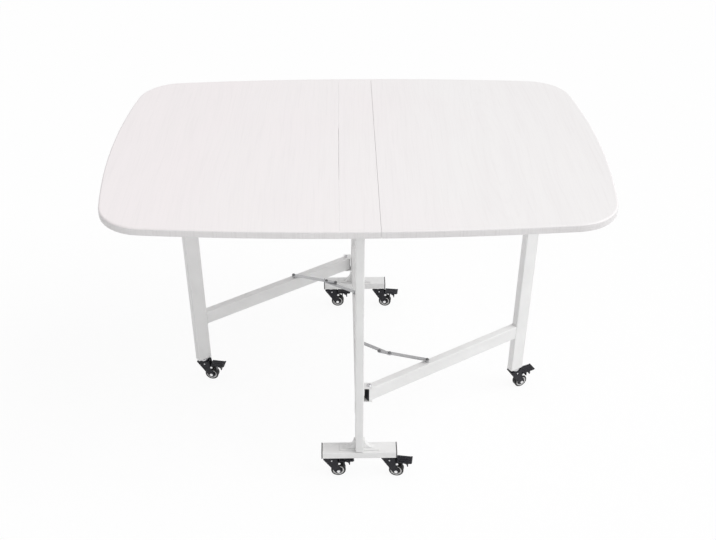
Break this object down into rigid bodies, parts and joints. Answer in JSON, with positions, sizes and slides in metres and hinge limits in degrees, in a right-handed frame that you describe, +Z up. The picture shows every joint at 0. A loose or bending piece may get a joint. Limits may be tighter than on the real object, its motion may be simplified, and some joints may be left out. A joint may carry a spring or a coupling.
{
  "type": "folding dining table",
  "caption": "Drop-leaf dining table with a fixed centre strip, a wheeled centre frame and swing-out gate legs held by folding stays, on swivel casters with brake pedals.",
  "frame": {"origin": "on the floor, below the middle of the table top", "axes": "+X along the length towards the right leaf, +Y away from the front foot, +Z up"},
  "size_m": [1.2, 0.8, 0.755],
  "materials": {
    "white_grain_board": "white foil with a pale grey grain, satin",
    "white_powder_coat": "white powder coat, satin",
    "dark_end_cap": "matte moulded plastic",
    "black_plastic": "matte moulded plastic",
    "black_wheel": "black tyre on a light hub",
    "zinc_plate": "zinc plated",
    "grey_stay_steel": "plain grey steel strip"
  },
  "bodies": {
    "frame": {"centre_strip": "white_grain_board", "hinge_frame_plate_right": "zinc_plate", "hinge_frame_plate_left": "zinc_plate", "post_front": "white_powder_coat", "post_rear": "white_powder_coat", "stretcher": "white_powder_coat", "top_rail": "white_powder_coat", "foot_bar_front": "white_powder_coat", "foot_bar_rear": "white_powder_coat", "foot_cap_front_left": "dark_end_cap", "foot_cap_front_right": "dark_end_cap", "foot_cap_rear_left": "dark_end_cap", "foot_cap_rear_right": "dark_end_cap", "post_bracket_front": "white_powder_coat", "post_bracket_rear": "white_powder_coat", "gate_bracket_right": "white_powder_coat", "gate_bracket_left": "white_powder_coat", "gate_pin_right": "zinc_plate", "gate_pin_left": "zinc_plate", "caster_stem_front_left": "zinc_plate", "caster_stem_front_right": "zinc_plate", "caster_stem_rear_left": "zinc_plate", "caster_stem_rear_right": "zinc_plate"},
    "leaf_right": {"leaf_right": "white_grain_board", "hinge_leaf_plate_right": "zinc_plate"},
    "leaf_left": {"leaf_left": "white_grain_board", "hinge_leaf_plate_left": "zinc_plate"},
    "gate_right": {"gate_bar_right": "white_powder_coat", "gate_bar_plug_right": "black_plastic", "gate_leg_right": "white_powder_coat", "leg_pad_right": "black_plastic", "caster_stem_gate_right": "zinc_plate"},
    "stay_frame_right": {"stay_frame_link_right": "grey_stay_steel"},
    "stay_gate_right": {"stay_gate_link_right": "grey_stay_steel"},
    "gate_left": {"gate_bar_left": "white_powder_coat", "gate_bar_plug_left": "black_plastic", "gate_leg_left": "white_powder_coat", "leg_pad_left": "black_plastic", "caster_stem_gate_left": "zinc_plate"},
    "stay_frame_left": {"stay_frame_link_left": "grey_stay_steel"},
    "stay_gate_left": {"stay_gate_link_left": "grey_stay_steel"},
    "swivel_front_left": {"caster_yoke_front_left": "black_plastic"},
    "wheel_front_left": {"caster_wheel_front_left": "black_wheel"},
    "pedal_front_left": {"caster_pedal_front_left": "black_plastic"},
    "swivel_front_right": {"caster_yoke_front_right": "black_plastic"},
    "wheel_front_right": {"caster_wheel_front_right": "black_wheel"},
    "pedal_front_right": {"caster_pedal_front_right": "black_plastic"},
    "swivel_rear_left": {"caster_yoke_rear_left": "black_plastic"},
    "wheel_rear_left": {"caster_wheel_rear_left": "black_wheel"},
    "pedal_rear_left": {"caster_pedal_rear_left": "black_plastic"},
    "swivel_rear_right": {"caster_yoke_rear_right": "black_plastic"},
    "wheel_rear_right": {"caster_wheel_rear_right": "black_wheel"},
    "pedal_rear_right": {"caster_pedal_rear_right": "black_plastic"},
    "swivel_gate_right": {"caster_yoke_gate_right": "black_plastic"},
    "wheel_gate_right": {"caster_wheel_gate_right": "black_wheel"},
    "pedal_gate_right": {"caster_pedal_gate_right": "black_plastic"},
    "swivel_gate_left": {"caster_yoke_gate_left": "black_plastic"},
    "wheel_gate_left": {"caster_wheel_gate_left": "black_wheel"},
    "pedal_gate_left": {"caster_pedal_gate_left": "black_plastic"}
  },
  "joints": [
    {"name": "leaf_right_lift", "type": "hinge", "parent": "frame", "child": "leaf_right", "pos_m": [0.04495, 0, 0.7335], "axis": [0, -1, 0], "range_deg": [0, 0.7]},
    {"name": "leaf_left_lift", "type": "hinge", "parent": "frame", "child": "leaf_left", "pos_m": [-0.04495, 0, 0.7335], "axis": [0, 1, 0], "range_deg": [0, 0.7]},
    {"name": "gate_right_fold", "type": "hinge", "parent": "frame", "child": "gate_right", "pos_m": [0.026, -0.295, 0.21], "axis": [0, 0, 1], "range_deg": [0, 58.5]},
    {"name": "stay_frame_right_fold", "type": "hinge", "parent": "frame", "child": "stay_frame_right", "pos_m": [0, -0.115, 0.2345], "axis": [0, 0, 1], "range_deg": [-48.34, 0]},
    {"name": "stay_gate_right_fold", "type": "hinge", "parent": "gate_right", "child": "stay_gate_right", "pos_m": [0.17947, -0.20095, 0.2373], "axis": [0, 0, 1], "range_deg": [0, 41.02]},
    {"name": "gate_left_fold", "type": "hinge", "parent": "frame", "child": "gate_left", "pos_m": [-0.026, 0.295, 0.21], "axis": [0, 0, 1], "range_deg": [0, 56.5]},
    {"name": "stay_frame_left_fold", "type": "hinge", "parent": "frame", "child": "stay_frame_left", "pos_m": [0, 0.107, 0.2345], "axis": [0, 0, 1], "range_deg": [-56.41, 0]},
    {"name": "stay_gate_left_fold", "type": "hinge", "parent": "gate_left", "child": "stay_gate_left", "pos_m": [-0.18027, 0.19289, 0.2373], "axis": [0, 0, 1], "range_deg": [0, 37.7]},
    {"name": "swivel_front_left", "type": "hinge", "parent": "frame", "child": "swivel_front_left", "pos_m": [-0.075, -0.371, 0.0644], "axis": [0, 0, 1], "continuous": true},
    {"name": "wheel_front_left_roll", "type": "hinge", "parent": "swivel_front_left", "child": "wheel_front_left", "pos_m": [-0.05351, -0.37025, 0.019], "axis": [-0.0349, 0.9994, 0], "continuous": true},
    {"name": "pedal_front_left_press", "type": "hinge", "parent": "swivel_front_left", "child": "pedal_front_left", "pos_m": [-0.05151, -0.37018, 0.046], "axis": [-0.0349, 0.9994, 0], "range_deg": [0, 8]},
    {"name": "swivel_front_right", "type": "hinge", "parent": "frame", "child": "swivel_front_right", "pos_m": [0.075, -0.371, 0.0644], "axis": [0, 0, 1], "continuous": true},
    {"name": "wheel_front_right_roll", "type": "hinge", "parent": "swivel_front_right", "child": "wheel_front_right", "pos_m": [0.09624, -0.37436, 0.019], "axis": [0.1564, 0.9877, 0], "continuous": true},
    {"name": "pedal_front_right_press", "type": "hinge", "parent": "swivel_front_right", "child": "pedal_front_right", "pos_m": [0.09821, -0.37468, 0.046], "axis": [0.1564, 0.9877, 0], "range_deg": [0, 8]},
    {"name": "swivel_rear_left", "type": "hinge", "parent": "frame", "child": "swivel_rear_left", "pos_m": [-0.075, 0.371, 0.0644], "axis": [0, 0, 1], "continuous": true},
    {"name": "wheel_rear_left_roll", "type": "hinge", "parent": "swivel_rear_left", "child": "wheel_rear_left", "pos_m": [-0.05351, 0.37025, 0.019], "axis": [0.0349, 0.9994, 0], "continuous": true},
    {"name": "pedal_rear_left_press", "type": "hinge", "parent": "swivel_rear_left", "child": "pedal_rear_left", "pos_m": [-0.05151, 0.37018, 0.046], "axis": [0.0349, 0.9994, 0], "range_deg": [0, 8]},
    {"name": "swivel_rear_right", "type": "hinge", "parent": "frame", "child": "swivel_rear_right", "pos_m": [0.075, 0.371, 0.0644], "axis": [0, 0, 1], "continuous": true},
    {"name": "wheel_rear_right_roll", "type": "hinge", "parent": "swivel_rear_right", "child": "wheel_rear_right", "pos_m": [0.09629, 0.36801, 0.019], "axis": [0.1392, 0.9903, 0], "continuous": true},
    {"name": "pedal_rear_right_press", "type": "hinge", "parent": "swivel_rear_right", "child": "pedal_rear_right", "pos_m": [0.09827, 0.36773, 0.046], "axis": [0.1392, 0.9903, 0], "range_deg": [0, 8]},
    {"name": "swivel_gate_right", "type": "hinge", "parent": "gate_right", "child": "swivel_gate_right", "pos_m": [0.44678, -0.03715, 0.0644], "axis": [0, 0, 1], "continuous": true},
    {"name": "wheel_gate_right_roll", "type": "hinge", "parent": "swivel_gate_right", "child": "wheel_gate_right", "pos_m": [0.46642, -0.0284, 0.019], "axis": [-0.4067, 0.9135, 0], "continuous": true},
    {"name": "pedal_gate_right_press", "type": "hinge", "parent": "swivel_gate_right", "child": "pedal_gate_right", "pos_m": [0.46825, -0.02759, 0.046], "axis": [-0.4067, 0.9135, 0], "range_deg": [0, 8]},
    {"name": "swivel_gate_left", "type": "hinge", "parent": "gate_left", "child": "swivel_gate_left", "pos_m": [-0.43752, 0.02262, 0.0644], "axis": [0, 0, 1], "continuous": true},
    {"name": "wheel_gate_left_roll", "type": "hinge", "parent": "swivel_gate_left", "child": "wheel_gate_left", "pos_m": [-0.41635, 0.01889, 0.019], "axis": [0.1736, 0.9848, 0], "continuous": true},
    {"name": "pedal_gate_left_press", "type": "hinge", "parent": "swivel_gate_left", "child": "pedal_gate_left", "pos_m": [-0.41438, 0.01854, 0.046], "axis": [0.1736, 0.9848, 0], "range_deg": [0, 8]}
  ],
  "couplings": [
    {"joint": "stay_frame_right_fold", "follows": "gate_right_fold", "ratio": -0.82626},
    {"joint": "stay_gate_right_fold", "follows": "gate_right_fold", "ratio": 0.70112},
    {"joint": "stay_frame_left_fold", "follows": "gate_left_fold", "ratio": -0.99833},
    {"joint": "stay_gate_left_fold", "follows": "gate_left_fold", "ratio": 0.66715}
  ]
}
